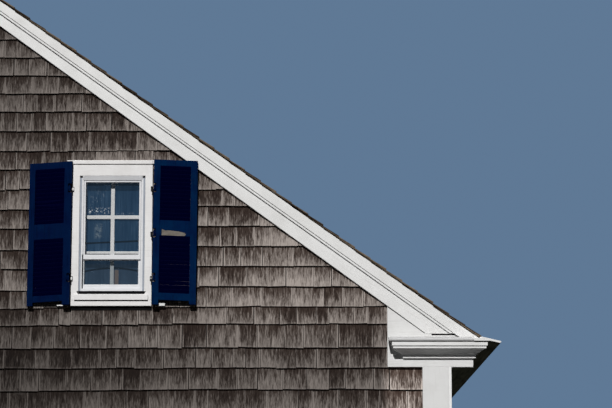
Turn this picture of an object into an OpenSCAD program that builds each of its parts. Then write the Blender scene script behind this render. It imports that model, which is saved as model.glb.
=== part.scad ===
// Gable end of a small shingled timber house, built from the ground up.
// The gable faces -Y. The origin is on the ground at the middle of the plan.
// Millimetres. +X is the right-hand eave seen from the front, +Z is up.

/* [House] */
// Half of the width across the gable, to the face of the wall framing
half_width = 3660; // [3500:10:4000]
// Half of the length along the ridge, to the face of the wall framing
half_length = 3050; // [2800:10:3600]
// Height of the foundation block above the ground
foundation_h = 150; // [120:10:150]
// Thickness of a framed wall with its boarding and plaster
wall_t = 140; // [120:5:160]
// Height of the underside of the cornice
eave_z = 2884; // [2860:2:2920]
// Top of the upper floor
upper_floor_z = 2840; // [2780:10:2860]

/* [Roof] */
// Rise of the roof for a run of one
roof_slope = 0.7132; // [0.68:0.0001:0.74]
// Upright thickness of the rafters and roof boards together
roof_t = 196; // [150:2:196]
// Thickness of the laid roof shingles, square to the slope
roof_shingle_t = 25; // [20:1:34]
// Length of a roof shingle that shows
roof_exposure = 134; // [120:1:150]
// How far the roof shingles stand past the rake boards
rake_drip = 10; // [6:1:30]

/* [Wall shingles] */
// Thickness of a wall shingle course at its butt
butt_t = 20; // [16:1:22]
// Thickness of the shingles just under the next butt
head_t = 8; // [6:1:12]
// Length of a wall shingle that shows, below the cornice
wall_exposure = 149; // [130:1:155]

/* [Trim] */
// Width of a corner board
corner_w = 200; // [150:5:200]
// Thickness of the flat trim boards, from the wall framing out
board_t = 30; // [28:1:36]
// Upright depth of the whole rake at the ridge
rake_top_h = 168; // [150:1:180]
// How much deeper the rake gets for each millimetre of run
rake_taper = 0.0165; // [0:0.0001:0.02]
// Upright depth of the outer rake board at the ridge
fascia_top_h = 66; // [60:1:85]
// How far the boxed cornice stands out from the wall framing
box_out = 174; // [150:1:190]
// Run of the cornice return across the gable, from the wall corner inwards
return_run = 417; // [380:1:440]

/* [Window] */
// Distance of each window's middle from the middle of its wall, on the gables
window_x = 1328; // [1250:1:1350]
// Height of the bottom of the gable window above the underside of the cornice
window_up = 420; // [400:1:430]
// Height of the bottom of the lower windows above the ground
low_window_z = 1300; // [1100:10:1340]
// Half of the width over the casings
casing_half = 280; // [276:1:282]
// Height of a window from the apron's foot to the cap's top
window_h = 1029; // [1024:1:1034]
// Width of the upright bar between the panes
bar_w = 26; // [22:1:32]
// Width of the lower level bar
low_bar_w = 17; // [14:1:30]

/* [Shutters] */
// Width of the left shutter of the gable window
left_shutter_w = 298; // [275:1:299]
// Width of the right shutter of the gable window
right_shutter_w = 305; // [290:1:306]
// Height of the left shutter at its hinge side
left_shutter_h = 1006; // [985:1:1010]
// Height of the right shutter at its hinge side
right_shutter_h = 1018; // [995:1:1020]
// Thickness of a shutter
shutter_t = 25; // [22:1:26]
// How far the left shutter's outer side has dropped
left_drop = 17; // [0:1:24]
// How far the right shutter's outer side has dropped
right_drop = 11; // [0:1:20]
// How far the left shutter leans back to the wall at its outer side, in degrees
left_lean = 4; // [0:0.5:4]
// How far the right shutter leans back to the wall at its outer side, in degrees
right_lean = 1.5; // [0:0.5:1.5]
// Upright distance between slats, about
slat_pitch = 28; // [22:1:32]

/* [Door] */
// Width of the side door's leaf
door_w = 860; // [760:10:900]
// Height of the side door's leaf
door_h = 2030; // [1950:10:2050]

/* [Hidden] */

hw = half_width;
hl = half_length;
m = roof_slope;
top0 = eave_z + 349 + hw * m;          // underside of the roof shingles at the ridge
function roof_z(x) = top0 - m * abs(x);
corner_out = 24;                        // a side corner board's face outside the framing
face = hl + board_t;                    // the gable trim's face, as a distance from the middle
rake_out = 20;                          // the outer rake board's face in front of that
box_x = hw + box_out;                   // the boxed cornice's outer face
cap_z = eave_z + 216;                   // the return cap's top against the wall
crown_z = eave_z + 52;                  // the crown's foot
crown_h = 122;
eave_cut = box_x + 45;                  // where the roof shingles end
ret_x = hw - return_run;                // inner end of the return board
win_z = eave_z + window_up;
t2 = roof_shingle_t * sqrt(1 + m * m);  // the roof shingles' upright thickness

// Colours, as the photograph shows them
WHITE = [0.86, 0.86, 0.85];
CREAM = [0.86, 0.84, 0.79];
SHINGLE = [0.42, 0.37, 0.34];
ROOF = [0.33, 0.24, 0.17];
NAVY = [0.02, 0.06, 0.17];
IRON = [0.05, 0.05, 0.06];
GLASS = [0.25, 0.32, 0.38, 0.5];
TIMBER = [0.72, 0.6, 0.44];
STONE = [0.6, 0.59, 0.56];
BARE = [0.62, 0.57, 0.48];

// ---------- placing ----------
// Stands children on a wall: local x runs to the right seen from outside, local -y points out.
module on_front() { translate([0, -hl, 0]) children(); }
module on_back() { translate([0, hl, 0]) rotate([0, 0, 180]) children(); }
module on_right() { translate([hw, 0, 0]) rotate([0, 0, 90]) children(); }
module on_left() { translate([-hw, 0, 0]) rotate([0, 0, -90]) children(); }
// Extrudes an outline drawn in X and Z from y0 to y1
module upright(y0, y1) { translate([0, y1, 0]) rotate([90, 0, 0]) linear_extrude(y1 - y0) children(); }
// Extrudes an outline drawn in Y and Z from x0 to x1
module across(x0, x1) { translate([x0, 0, 0]) rotate([90, 0, 90]) linear_extrude(x1 - x0) children(); }
module box(a, b) { translate(a) cube([b[0] - a[0], b[1] - a[1], b[2] - a[2]]); }
module both_sides() { children(); mirror([1, 0, 0]) children(); }

// where the windows stand: [local x, bottom z]
low_z = low_window_z;
gable_windows = [[window_x, win_z], [-window_x, win_z], [window_x, low_z], [-window_x, low_z]];
side_windows = [[1500, low_z], [-1500, low_z]];

// ---------- structure ----------
module foundation() { color(STONE) box([-hw + 15, -hl + 15, 0], [hw - 15, hl - 15, foundation_h]); }

module ground_floor() { color(TIMBER) box([-hw + wall_t, -hl + wall_t, foundation_h], [hw - wall_t, hl - wall_t, foundation_h + 50]); }

module upper_floor() { color(TIMBER) box([-hw + wall_t, -hl + wall_t, upper_floor_z - 200], [hw - wall_t, hl - wall_t, upper_floor_z]); }

module window_holes(list) {
    for (w = list) box([w[0] - 248, -10, w[1] + 60], [w[0] + 248, wall_t + 10, w[1] + 940]);
}
function wall_top(x) = roof_z(x) - roof_t - 0.1;
module gable_wall() {
    difference() {
        upright(0, wall_t) polygon([[-hw, foundation_h], [hw, foundation_h], [hw, wall_top(hw)], [0, wall_top(0)], [-hw, wall_top(hw)]]);
        window_holes(gable_windows);
    }
}
module front_wall() { color(TIMBER) on_front() gable_wall(); }
module back_wall() { color(TIMBER) on_back() gable_wall(); }

module eave_wall(list) {
    difference() {
        across(-(hl - wall_t), hl - wall_t)
            polygon([[0, foundation_h], [wall_t, foundation_h], [wall_t, wall_top(hw - wall_t)], [0, wall_top(hw)]]);
        window_holes(list);
    }
}
module right_wall() {
    color(TIMBER) on_right() difference() {
        eave_wall(side_windows);
        box([-door_w / 2 - 25, -10, foundation_h + 50], [door_w / 2 + 25, wall_t + 10, foundation_h + 80 + door_h]);
    }
}
module left_wall() { color(TIMBER) on_left() eave_wall(side_windows); }

module roof_deck() {
    upright(-hl, hl) polygon([[0, top0], [box_x - 28, roof_z(box_x - 28)], [box_x - 28, roof_z(box_x - 28) - roof_t], [0, top0 - roof_t]]);
}
module right_roof_deck() { color(TIMBER) roof_deck(); }
module left_roof_deck() { color(TIMBER) mirror([1, 0, 0]) roof_deck(); }

// ---------- roof shingles ----------
// Stepped courses: each course is thickest at its butt and tucks under the course above.
roof_len = eave_cut * sqrt(1 + m * m);
roof_n = floor(roof_len / roof_exposure);
function on_slope(s, h) = let (c = 1 / sqrt(1 + m * m)) [s * c + h * m * c, top0 - s * m * c + h * c];
module roof_shingles() {
    steps = [for (i = [0:roof_n - 1]) let (s = roof_len - i * roof_exposure) each [on_slope(s, roof_shingle_t), on_slope(s - roof_exposure, roof_shingle_t - 9)]];
    end_s = roof_len - roof_n * roof_exposure;
    intersection() {
        upright(-(face + rake_out + rake_drip), face + rake_out + rake_drip)
            polygon(concat([on_slope(0, 0), on_slope(roof_len, 0)], steps, [on_slope(end_s, roof_shingle_t - 3), on_slope(0, roof_shingle_t - 10), [0, top0 + 8]]));
        box([0, -hl - 300, 0], [eave_cut, hl + 300, top0 + 200]);
    }
}
module right_roof_shingles() { color(ROOF) roof_shingles(); }
module left_roof_shingles() { color(ROOF) mirror([1, 0, 0]) roof_shingles(); }

module ridge_boards() {
    color(ROOF) both_sides() upright(-(face + rake_out + rake_drip), face + rake_out + rake_drip)
        polygon([on_slope(150, roof_shingle_t + 1), on_slope(150, roof_shingle_t + 20), [0, top0 + (roof_shingle_t + 20) * sqrt(1 + m * m)], [0, top0 + (roof_shingle_t + 1) * sqrt(1 + m * m)]]);
}

// ---------- wall shingles ----------
// Course lines: even runs between the lines that the shingler set out from the window and the cornice.
function run(z0, z1, n) = [for (i = [0:n - 1]) z0 + (z1 - z0) * i / n];
first_line = eave_z - 3;
low_courses = [for (i = [-19:-1]) first_line + i * wall_exposure];
high_courses = concat(run(first_line, eave_z + 137, 1), run(eave_z + 137, eave_z + 303, 1), run(eave_z + 303, eave_z + 422, 1),
    run(eave_z + 422, eave_z + 1129, 5), run(eave_z + 1129, eave_z + 1248, 1), run(eave_z + 1248, eave_z + 1804, 4),
    run(eave_z + 1804, eave_z + 2326, 4), [for (i = [0:4]) eave_z + 2326 + i * 135]);
all_courses = concat(low_courses, high_courses);
function skin_steps(list) = [for (i = [0:len(list) - 2]) each [[-butt_t, list[i]], [-head_t, list[i + 1]]]];
module skin(x0, x1, list) { across(x0, x1) polygon(concat([[0, list[0]]], skin_steps(list), [[0, list[len(list) - 1]]])); }
module trim_holes(list) {
    for (w = list) {
        box([w[0] - casing_half, -60, w[1]], [w[0] + casing_half, 20, w[1] + window_h]);
        box([w[0] - casing_half - 40, -60, w[1] + window_h - 25], [w[0] + casing_half + 40, 20, w[1] + window_h]);
    }
}
function rake_low(x) = roof_z(x) - rake_top_h - rake_taper * abs(x);
module gable_skin() {
    difference() {
        intersection() {
            skin(-hw, hw, all_courses);
            upright(-100, 100) polygon([[-(hw + corner_out - corner_w), foundation_h - 10], [hw + corner_out - corner_w, foundation_h - 10],
                [hw + corner_out - corner_w, eave_z], [ret_x, eave_z], [ret_x, rake_low(ret_x) - 0.2], [0, rake_low(0) - 0.2],
                [-ret_x, rake_low(ret_x) - 0.2], [-ret_x, eave_z], [-(hw + corner_out - corner_w), eave_z]]);
        }
        trim_holes(gable_windows);
    }
}
module front_wall_shingles() {
    color(SHINGLE) on_front() difference() {
        gable_skin();
        for (b = blocks) box([window_x + b[0] - 21.2, -60, win_z + b[1] - 0.2], [window_x + b[0] + 21.2, 20, win_z + b[2] + 0.2]);
    }
}
module back_wall_shingles() { color(SHINGLE) on_back() gable_skin(); }
module side_skin(list) {
    difference() {
        skin(-(hl + board_t - corner_w), hl + board_t - corner_w, concat(low_courses, [eave_z]));
        box([-hl, -60, 0], [hl, 20, foundation_h - 10]);
        trim_holes(list);
    }
}
module right_wall_shingles() {
    color(SHINGLE) on_right() difference() {
        side_skin(side_windows);
        box([-door_w / 2 - 100, -60, 0], [door_w / 2 + 100, 20, foundation_h + 160 + door_h]);
    }
}
module left_wall_shingles() { color(SHINGLE) on_left() side_skin(side_windows); }

// ---------- corner boards ----------
// The front board stops short of the corner, where the edge of the side board shows.
module corner_pair(side) {
    x1 = hw + corner_out;
    translate([0, 0, foundation_h - 10]) linear_extrude(eave_z - foundation_h + 10)
        if (side) polygon([[x1 - 20, -face], [x1, -face], [x1, -face + corner_w], [hw, -face + corner_w], [hw, -hl], [x1 - 20, -hl]]);
        else polygon([[x1 - corner_w, -face], [x1 - 20.3, -face], [x1 - 20.3, -hl], [x1 - corner_w, -hl]]);
}
module corner_boards() {
    color(WHITE) for (v = [0, 1], u = [0, 1]) mirror([0, v, 0]) mirror([u, 0, 0]) corner_pair(false);
}
module side_corner_boards() {
    color(WHITE) for (v = [0, 1], u = [0, 1]) mirror([0, v, 0]) mirror([u, 0, 0]) corner_pair(true);
}

// ---------- rakes ----------
// A board that follows the rake between two upright depths below the shingles, cut level at its foot.
module rake_board(h0, taper0, h1, taper1, foot, y0, y1) {
    xe = box_x - 0.5;
    xa = (top0 - h0 - foot) / (m + taper0);
    xb = (top0 - h1 - foot) / (m + taper1);
    upright(y0, y1) polygon(concat([[0, top0 - h0]], xa > xe ? [[xe, top0 - h0 - (m + taper0) * xe], [xe, foot]] : [[xa, foot]], [[xb, foot], [0, top0 - h1]]));
}
frieze_foot = cap_z + 14;
frieze_foot_x = (top0 - rake_top_h - frieze_foot) / (m + rake_taper);
fascia_taper = 0.0055;
bead_gap = 4;                           // open joint between the outer board and the bead
module rake_frieze() { rake_board(0, 0, rake_top_h, rake_taper, frieze_foot, -face - 3, -hl); }
module rake_bead() { rake_board(fascia_top_h + bead_gap, fascia_taper, fascia_top_h + 20, fascia_taper, cap_z + 17, -face - 15, -face - 3); }
module rake_fascia() {
    union() {
        rake_board(0, 0, fascia_top_h, fascia_taper, cap_z - 5, -face - rake_out, -face - 3);
        across(box_x - 98, box_x - 0.5) polygon([[-face - rake_out, cap_z - 4], [-face - rake_out, cap_z - 9.7], [-face - 3, cap_z - 6.4], [-face - 3, cap_z - 4]]);
    }
}
module right_rake_frieze() { color(WHITE) rake_frieze(); }
module right_rake_fascia() { color(WHITE) { rake_fascia(); rake_bead(); } }
module whole_rake() { union() { rake_frieze(); rake_bead(); rake_fascia(); } }
module other_rake_boards() {
    color(WHITE) {
        mirror([1, 0, 0]) whole_rake();
        mirror([0, 1, 0]) whole_rake();
        mirror([0, 1, 0]) mirror([1, 0, 0]) whole_rake();
    }
}

// ---------- cornice returns ----------
// Its top meets the rake's foot, with an open joint further out
module return_board() {
    upright(-face, -hl) polygon([[ret_x, eave_z], [box_x, eave_z], [box_x, cap_z - 3], [ret_x + 476, cap_z + 3], [ret_x + 306, cap_z + 3], [ret_x + 306, frieze_foot - 0.1],
        [frieze_foot_x - 0.3, frieze_foot - 0.1], [ret_x, rake_low(ret_x) - 0.3]]);
}
// The crown's section: distance out from the wall, height above its foot
crown_section = [[0, 8], [16, 8], [17, 18], [19, 28], [23, 34], [30, 39], [39, 45], [51, 52], [64, 59], [76, 65], [86, 70],
    [86, 88], [94, 88], [94, 113], [80, 113], [80, 119], [0, 119]];
crown_left = ret_x + 122;
module crown_along_x(x0, x1, y) { translate([0, -y, crown_z]) across(x0, x1) polygon([for (q = crown_section) [-q[0], q[1]]]); }
module crown_along_y(x, y0, y1) { translate([x, 0, crown_z]) upright(y0, y1) polygon(crown_section); }
// The front crown, mitred at the corner, with the short piece that turns back to the wall at its inner end
module return_crown() {
    union() {
        intersection() {
            crown_along_x(crown_left - 200, box_x + 200, face);
            translate([0, 0, eave_z]) linear_extrude(400) polygon([[crown_left, -face], [crown_left - 150, -face - 150], [box_x + 150, -face - 150], [box_x, -face]]);
        }
        intersection() {
            translate([crown_left, 0, 0]) mirror([1, 0, 0]) crown_along_y(0, -face - 200, -face);
            translate([0, 0, eave_z]) linear_extrude(400) polygon([[crown_left, -face], [crown_left - 150, -face - 150], [crown_left - 150, -face]]);
        }
    }
}
module return_cap() {
    across(crown_left - 116, box_x) polygon([[-face, crown_z + 119], [-face, cap_z - 6], [-face - 102, crown_z + 138], [-face - 106, crown_z + 134], [-face - 106, crown_z + 121], [-face - 102, crown_z + 119]]);
}
module right_return_board() { color(WHITE) return_board(); }
module right_return_crown() { color(WHITE) return_crown(); }
module right_return_cap() { color(WHITE) return_cap(); }
module whole_return() { union() { return_board(); return_crown(); return_cap(); } }
module other_cornice_returns() {
    color(WHITE) {
        mirror([1, 0, 0]) whole_return();
        mirror([0, 1, 0]) whole_return();
        mirror([0, 1, 0]) mirror([1, 0, 0]) whole_return();
    }
}

// ---------- eaves ----------
module eave_soffit() {
    union() {
        box([hw, -hl, eave_z], [box_x, hl, eave_z + 22]);
        upright(-hl, hl) polygon([[box_x - 28, eave_z + 20], [box_x, eave_z + 20], [box_x, roof_z(box_x)], [box_x - 28, roof_z(box_x - 28)]]);
    }
}
module eave_crown() {
    intersection() {
        crown_along_y(box_x, -face - 200, face + 200);
        translate([0, 0, eave_z]) linear_extrude(400) polygon([[box_x, -face], [box_x + 150, -face - 150], [box_x + 150, face + 150], [box_x, face]]);
    }
}
module eave_drip() {
    z0 = crown_z + 119;
    nose = [[box_x, z0], [box_x + 111, z0], [box_x + 178, z0 - 15], [box_x + 187, z0 - 10], [box_x + 185, z0 - 2]];
    y_in = face + rake_out + rake_drip;
    union() {
        upright(-face - 106, face + 106) polygon(concat(nose, [[eave_cut + 8, z0 + 29], [eave_cut + 1, z0 + 20], [box_x, z0 + 20]]));
        upright(-y_in, y_in) polygon(concat(nose, [[eave_cut + 8, z0 + 35], [eave_cut, z0 + 34], [eave_cut, roof_z(eave_cut)], [box_x, roof_z(box_x)]]));
    }
}
module right_eave_soffit() { color(WHITE) eave_soffit(); }
module right_eave_crown() { color(WHITE) eave_crown(); }
module right_eave_drip() { color(WHITE) eave_drip(); }
module left_eave_cornice() { color(WHITE) mirror([1, 0, 0]) union() { eave_soffit(); eave_crown(); eave_drip(); } }

// ---------- windows ----------
// Local frame of a window: x from its middle, z from the apron's foot, -y out of the wall.
ch = casing_half;
module side_and_head_casing() {
    for (s = [-1, 1]) box([s > 0 ? 228 : -ch, -34, 44], [s > 0 ? ch : -228, 0, 918]);
    box([-ch, -34, 918], [ch, 0, window_h - 27]);
}
module cap_piece() {
    union() {
        across(-ch, ch) polygon([[0, window_h - 27], [0, window_h], [-36, window_h], [-42, window_h - 5], [-42, window_h - 27]]);
        box([-ch - 40, -33, window_h - 24], [ch + 40, 0, window_h]);
    }
}
module apron_piece() { box([-ch, -34, 3.5], [ch, 0, 44]); }
module sill_piece() {
    union() {
        across(-228, 228) polygon([[-46, 44], [-46, 83], [-42, 85], [wall_t, 103], [wall_t, 64], [0, 62], [0, 44]]);
        box([-256, -46, 44], [256, -34, 83]);
    }
}
module jamb_piece() {
    for (s = [-1, 1]) box([s > 0 ? 228 : -248, 0, 100], [s > 0 ? 248 : -228, wall_t, 920]);
    box([-248, 0, 920], [248, wall_t, 940]);
}
module ring(x, z0, z1, rx, rz0, rz1, y0, y1) {
    difference() { box([-x, y0, z0], [x, y1, z1]); box([-rx, y0 - 5, rz0], [rx, y1 + 5, rz1]); }
}
module storm_ring() {
    difference() {
        union() {
            box([-227, -24, 108.5], [227, -2, 918]);
            across(-210, 210) polygon([[-24, 888], [-33.7, 917.8], [-20, 917.8], [-20, 888]]);
        }
        box([-201, -40, 364], [201, 20, 888]);
        box([-207, -40, 126], [201, 20, 365]);
    }
}
// The black strip under the storm frame, with its mitred ends on the casing, and the frame's two hangers
module storm_fitting_pieces() {
    across(-227.5, 227.5) polygon([[-23, 87.2], [-23, 108.3], [-8, 108.3], [-8, 88.7]]);
    for (s = [0, 1]) mirror([s, 0, 0]) {
        upright(-36.5, -34.1) polygon([[228.2, 105.5], [241, 105.5], [229, 87], [228.2, 87]]);
        box([210.5, -28, 908], [227.5, -24.1, 917]);
    }
}
// One closed frame of the storm window: its outer sides, its pane's sides, its levels and its depth
module panel_ring(x0, x1, z0, z1, a0, a1, c0, c1, y0, y1) {
    difference() { box([x0, y0, z0], [x1, y1, z1]); box([a0, y0 - 5, c0], [a1, y1 + 5, c1]); }
}
module storm_panel_rings() {
    panel_ring(-199.5, 199.5, 330, 884.5, -187, 186.5, 364, 875, -20, -10);
    panel_ring(-199.5, 199.5, 126.5, 358, -195, 184, 156, 323, -7.5, -2.5);
}
module storm_panes() { box([-187, -13, 364], [186.5, -11, 875]); box([-195, -6, 156], [184, -4, 323]); }
// The sash's level bars: middle, height
bars = [[385, low_bar_w], [635.5, 25]];
lights = [[150, bars[0][0] - bars[0][1] / 2], [bars[0][0] + bars[0][1] / 2, bars[1][0] - bars[1][1] / 2], [bars[1][0] + bars[1][1] / 2, 881]];
function light_sides(r) = [[r[0] < 200 ? -194 : -187, -2 - bar_w / 2], [bar_w / 2 - 2, r[0] < 200 ? 182 : 187]];
module sash_piece() {
    difference() {
        box([-227, 30, 100.5], [227, 64, 919]);
        for (r = lights) for (q = light_sides(r)) box([q[0], 20, r[0]], [q[1], 80, r[1]]);
    }
}
module sash_panes() { for (r = lights) for (q = light_sides(r)) box([q[0], 46, r[0]], [q[1], 49, r[1]]); }
module at_window() { on_front() translate([window_x, 0, win_z]) children(); }

module window_casing() { color(CREAM) at_window() side_and_head_casing(); }
module window_cap() { color(CREAM) at_window() cap_piece(); }
module window_apron() { color(CREAM) at_window() apron_piece(); }
module window_sill() { color(CREAM) at_window() sill_piece(); }
module window_jambs() { color(WHITE) at_window() jamb_piece(); }
module storm_frame() { color(WHITE) at_window() storm_ring(); }
module storm_fittings() { color(IRON) at_window() storm_fitting_pieces(); }
module storm_panels() { color(WHITE) at_window() storm_panel_rings(); }
module storm_glass() { color(GLASS) at_window() storm_panes(); }
module window_sash() { color(WHITE) at_window() sash_piece(); }
module sash_glass() { color(GLASS) at_window() sash_panes(); }

// ---------- shutters ----------
// Local frame of a shutter: x from the hinge pin outwards, y from the pin towards the wall, z from the hinge side's foot.
pin_x = ch + 16;                        // hinge pins, from the window's middle
pin_out = 64;                           // hinge pins, out from the wall framing
leaf_y = 5.5;                           // the leaf's mid-thickness behind the pins
foot_left = 11;                         // the shutters' feet above the apron's foot
foot_right = 12;
// A leaf: [width, height, drop at the outer side, lean outwards at the top, edge back from the pin, hinge stile, outer stile, rails, hinges, outer foot's shortening]
left_leaf = [left_shutter_w, left_shutter_h, left_drop, -5, 11, 52, 40, [[28, 71], [467, 572], [961, left_shutter_h]], [188, 818], 5];
right_leaf = [right_shutter_w, right_shutter_h, right_drop, 7, 12.5, 46, 46, [[33, 82], [483, 591], [976, right_shutter_h]], [189, 501, 821], 9];
function leaf_x(s, x, z) = x - s[4] + s[3] * z / s[1];
function leaf_z(s, x, z) = z - s[2] * x / s[0];
// A board of a leaf, following its sag: from x0 to x1 and z0 to z1 of the true leaf
module leaf_board(s, x0, x1, z0, z1, h) {
    translate([0, leaf_y, 0]) upright(-h, h) polygon([for (p = [[x0, z0], [x1, z0], [x1, z1], [x0, z1]]) [leaf_x(s, p[0], p[1]), leaf_z(s, p[0], p[1])]]);
}
module shutter_frame(s) {
    h = shutter_t / 2;
    difference() {
        union() {
            leaf_board(s, 0, s[5], 0, s[1], h);
            leaf_board(s, s[0] - s[6], s[0], s[9], s[1], h);
            for (r = s[7]) leaf_board(s, s[5] - 4, s[0] - s[6] + 4, r[0], r[1], h - 3);
        }
        for (z = s[8]) box([-s[4] - 12, -h - 5, z - 34], [12, h + 12, z + 30]);
    }
}
// One slat: it slopes down towards the wall while the shutter stands open
module slat(x0, x1, half) { across(x0, x1) polygon([[-10, half - 3], [-8, half], [10, 3 - half], [8, -half]]); }
module slat_field(s, z0, z1) {
    n = round((z1 - z0) / slat_pitch);
    step = (z1 - z0) / n;
    for (i = [0:n - 1]) let (z = z0 + step * (i + 0.5))
        translate([leaf_x(s, s[5], z), leaf_y, leaf_z(s, s[5], z)]) rotate([0, atan(s[2] / s[0]), 0]) slat(0.6, s[0] - s[5] - s[6] - 0.6, step / 2 - 1);
}
module shutter_slats(s) {
    slat_field(s, s[7][0][1], s[7][1][0]);
    slat_field(s, s[7][1][1], s[7][2][0]);
}
// The right leaf's lock rail has lost a splinter of its face and its lower edge: bare wood shows there
broken = [[0, 479], [0, 527], [12, 522], [28, 517], [45, 520], [80, 517], [120, 514], [158, 506], [170, 496], [165, 487], [158, 479]];
module in_broken_place(s) { translate([s[5] - s[4] + 0.4, leaf_y, 0]) rotate([0, atan(s[2] / s[0]), 0]) children(); }
module right_frame() {
    difference() {
        shutter_frame(right_leaf);
        in_broken_place(right_leaf) upright(-shutter_t, 3 - shutter_t / 2 + 4) polygon(broken);
    }
}
module bare_wood() {
    intersection() {
        in_broken_place(right_leaf) upright(3 - shutter_t / 2 + 1.5, 3 - shutter_t / 2 + 3.9) polygon(broken);
        leaf_board(right_leaf, right_leaf[5] + 0.5, right_leaf[0] - right_leaf[6], 484, 560, 20);
    }
}
module shutter_eyes(hinges) {
    for (z = hinges) difference() {
        union() {
            translate([0, 0, z - 12]) cylinder(r = 7.5, h = 24, $fn = 32);
            box([5, -1.5, z - 12], [12, 1.5, z + 12]);
        }
        translate([0, 0, z - 20]) cylinder(r = 4.05, h = 40, $fn = 32);
    }
}
// A hinge pin on an arm from a plate, screwed to the casing's face
module pintles(hinges) {
    for (z = hinges) union() {
        translate([0, 0, z - 24]) cylinder(r = 4, h = 44, $fn = 32);
        translate([0, 0, z - 24]) cylinder(r = 7.5, h = 11, $fn = 32);
        box([-5, 0, z - 24], [4, 30, z - 13]);
        box([-18, 20, z - 24], [4, 30, z - 13]);
        box([-28, 26, z - 24], [-13, 30, z + 10]);
        box([-21, 27, z - 50], [-14, 30, z - 23]);
    }
}
module at_left_pins() { at_window() translate([-pin_x, -pin_out, foot_left]) mirror([1, 0, 0]) children(); }
module at_right_pins() { at_window() translate([pin_x, -pin_out, foot_right]) children(); }
module at_left_shutter() { at_left_pins() rotate([0, 0, left_lean]) children(); }
module at_right_shutter() { at_right_pins() rotate([0, 0, right_lean]) children(); }
module left_shutter_frame() { color(NAVY) at_left_shutter() shutter_frame(left_leaf); }
module left_shutter_slats() { color(NAVY) at_left_shutter() shutter_slats(left_leaf); }
module left_shutter_eyes() { color(IRON) at_left_shutter() shutter_eyes(left_leaf[8]); }
module right_shutter_frame() { color(NAVY) at_right_shutter() right_frame(); }
module right_shutter_slats() { color(NAVY) at_right_shutter() shutter_slats(right_leaf); }
module right_shutter_bare_wood() { color(BARE) at_right_shutter() bare_wood(); }
module right_shutter_eyes() { color(IRON) at_right_shutter() shutter_eyes(right_leaf[8]); }
module shutter_pintles() {
    color(IRON) {
        at_left_pins() pintles(left_leaf[8]);
        at_right_pins() pintles(right_leaf[8]);
    }
}
// The blocks behind the shutters' feet: [middle, bottom, top, how far out]
blocks = [[-354, 3.5, 13.5, 33], [353, 4, 26, 40]];
module shutter_blocks() { color(WHITE) at_window() for (b = blocks) box([b[0] - 21, -b[3], b[1]], [b[0] + 21, 0, b[2]]); }

// ---------- the windows that the photograph doesn't show ----------
module each_other_window() {
    on_front() for (w = [for (i = [1:3]) gable_windows[i]]) translate([w[0], 0, w[1]]) children();
    on_back() for (w = gable_windows) translate([w[0], 0, w[1]]) children();
    on_right() for (w = side_windows) translate([w[0], 0, w[1]]) children();
    on_left() for (w = side_windows) translate([w[0], 0, w[1]]) children();
}
module other_window_casings() {
    color(CREAM) each_other_window() union() {
        side_and_head_casing(); cap_piece(); apron_piece(); sill_piece(); jamb_piece();
    }
}
module other_window_sashes() {
    color(WHITE) each_other_window() union() {
        storm_ring();
        panel_ring(-210, 204, 330, 892, -187, 186.5, 364, 875, -20, -10);
        panel_ring(-210, 204, 120, 341, -195, 184, 156, 323, -20, -10);
        box([-227, -3, 109], [-215, 31, 126]); box([215, -3, 109], [227, 31, 126]);
        sash_piece();
    }
}
module other_window_glass() { color(GLASS) each_other_window() { box([-187, -13, 364], [186.5, -11, 875]); box([-195, -13, 156], [184, -11, 323]); } }
plain_fields = [[78, 470], [572, 962]];
module plain_shutter() {
    h = shutter_t / 2;
    union() {
        translate([0, leaf_y, 0]) difference() {
            box([-10, -h, 0], [284, h, 1002]);
            for (r = plain_fields) box([36, -h - 5, r[0]], [238, h - 5, r[1]]);
        }
        for (z = left_leaf[8]) box([-16, leaf_y + 5, z - 24], [-8, 30, z + 12]);
    }
}
module other_shutters() {
    color(NAVY) each_other_window() for (s = [0, 1]) mirror([s, 0, 0]) translate([pin_x, -pin_out, 12]) plain_shutter();
}

// ---------- side door ----------
module side_door() {
    color(NAVY) on_right() translate([0, 0, foundation_h + 55]) difference() {
        box([-door_w / 2, 12, 0], [door_w / 2, 56, door_h]);
        for (s = [-1, 1], r = [[180, 820], [1000, 1880]])
            box([s > 0 ? 60 : -door_w / 2 + 110, 5, r[0]], [s > 0 ? door_w / 2 - 110 : -60, 24, r[1]]);
    }
}
module side_door_casing() {
    z1 = foundation_h + 60 + door_h;
    color(CREAM) on_right() union() {
        for (s = [-1, 1]) {
            box([s > 0 ? door_w / 2 + 5 : -door_w / 2 - 100, -36, foundation_h], [s > 0 ? door_w / 2 + 100 : -door_w / 2 - 5, 0, z1]);
            box([s > 0 ? door_w / 2 + 5 : -door_w / 2 - 25, 0, foundation_h + 50], [s > 0 ? door_w / 2 + 25 : -door_w / 2 - 5, wall_t, z1]);
        }
        box([-door_w / 2 - 100, -36, z1], [door_w / 2 + 100, 0, z1 + 100]);
        box([-door_w / 2 - 25, 0, z1], [door_w / 2 + 25, wall_t, z1 + 20]);
        box([-door_w / 2 - 5, -60, foundation_h], [door_w / 2 + 5, 0, foundation_h + 50]);
    }
}

foundation();
ground_floor();
upper_floor();
front_wall();
back_wall();
right_wall();
left_wall();
right_roof_deck();
left_roof_deck();
right_roof_shingles();
left_roof_shingles();
ridge_boards();
front_wall_shingles();
back_wall_shingles();
right_wall_shingles();
left_wall_shingles();
corner_boards();
side_corner_boards();
right_rake_frieze();
right_rake_fascia();
other_rake_boards();
right_return_board();
right_return_crown();
right_return_cap();
other_cornice_returns();
right_eave_soffit();
right_eave_crown();
right_eave_drip();
left_eave_cornice();
window_casing();
window_cap();
window_apron();
window_sill();
window_jambs();
storm_frame();
storm_fittings();
storm_panels();
storm_glass();
window_sash();
sash_glass();
shutter_pintles();
shutter_blocks();
left_shutter_frame();
left_shutter_slats();
left_shutter_eyes();
right_shutter_frame();
right_shutter_slats();
right_shutter_bare_wood();
right_shutter_eyes();
other_window_casings();
other_window_sashes();
other_window_glass();
other_shutters();
side_door();
side_door_casing();
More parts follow.
